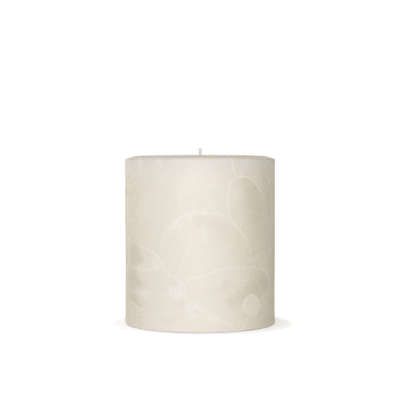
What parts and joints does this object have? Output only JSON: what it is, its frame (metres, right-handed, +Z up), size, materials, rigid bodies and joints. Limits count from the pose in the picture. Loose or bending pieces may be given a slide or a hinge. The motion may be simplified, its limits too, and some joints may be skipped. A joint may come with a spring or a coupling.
{
  "type": "pillar candle",
  "caption": "Squat ivory pillar candle with a crystallised wax skin, a sloping top shoulder, a short braided wick and a small round wax seal low on its side.",
  "frame": {"origin": "centre of the foot, on the surface that the candle stands on", "axes": "+Z up along the wick; -Y is the front; the wax seal is 41.5 degrees from the front towards +X"},
  "size_m": [0.1016, 0.1016, 0.1188],
  "materials": {
    "crystal_wax": "satin ivory wax, crystallised in large cells",
    "core_wax": "smooth ivory wax",
    "plug_wax": "dull ivory wax with pour rings",
    "wick_cotton": "wax-primed braided cotton",
    "wick_thread": "twisted stiffening thread",
    "tab_metal": "tinplate",
    "seal_wax": "pale pressed wax",
    "label_paper": "uncoated white paper"
  },
  "bodies": {
    "root": {"crystal_shell": "crystal_wax", "core_fill": "core_wax", "base_plug": "plug_wax", "wick_braid": "wick_cotton", "wick_core": "wick_thread", "wick_tab": "tab_metal", "wax_seal": "seal_wax", "base_label": "label_paper"}
  },
  "joints": []
}
